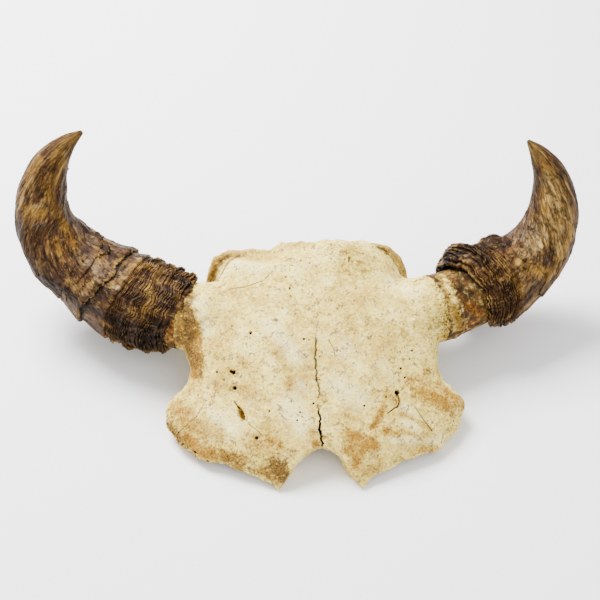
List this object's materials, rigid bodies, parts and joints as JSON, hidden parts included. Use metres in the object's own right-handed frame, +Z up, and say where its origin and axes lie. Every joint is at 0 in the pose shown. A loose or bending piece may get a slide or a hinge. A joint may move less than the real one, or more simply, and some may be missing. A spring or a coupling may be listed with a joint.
{
  "type": "half bison skull",
  "caption": "Upper half of a bull bison skull, bleached bone with its face missing, both horn cores and dark flaking horn sheaths, lying as it rests.",
  "frame": {"origin": "on the table, under the middle of the object's box", "axes": "+X towards the animal's left horn, +Y from the nose end to the back of the head, +Z up"},
  "size_m": [0.6384, 0.3384, 0.2275],
  "materials": {
    "bleached_bone": "dry weathered bone, matt",
    "stained_bone": "porous bone stained brown, matt",
    "horn": "weathered horn in flaking layers, half matt"
  },
  "bodies": {
    "root": {"frontal_right": "bleached_bone", "frontal_left": "bleached_bone", "parietal": "bleached_bone", "occipital": "bleached_bone", "braincase": "bleached_bone", "temporal_right": "bleached_bone", "temporal_left": "bleached_bone", "horn_core_right": "stained_bone", "horn_core_left": "stained_bone", "horn_sheath_right": "horn", "horn_sheath_left": "horn"}
  },
  "joints": []
}
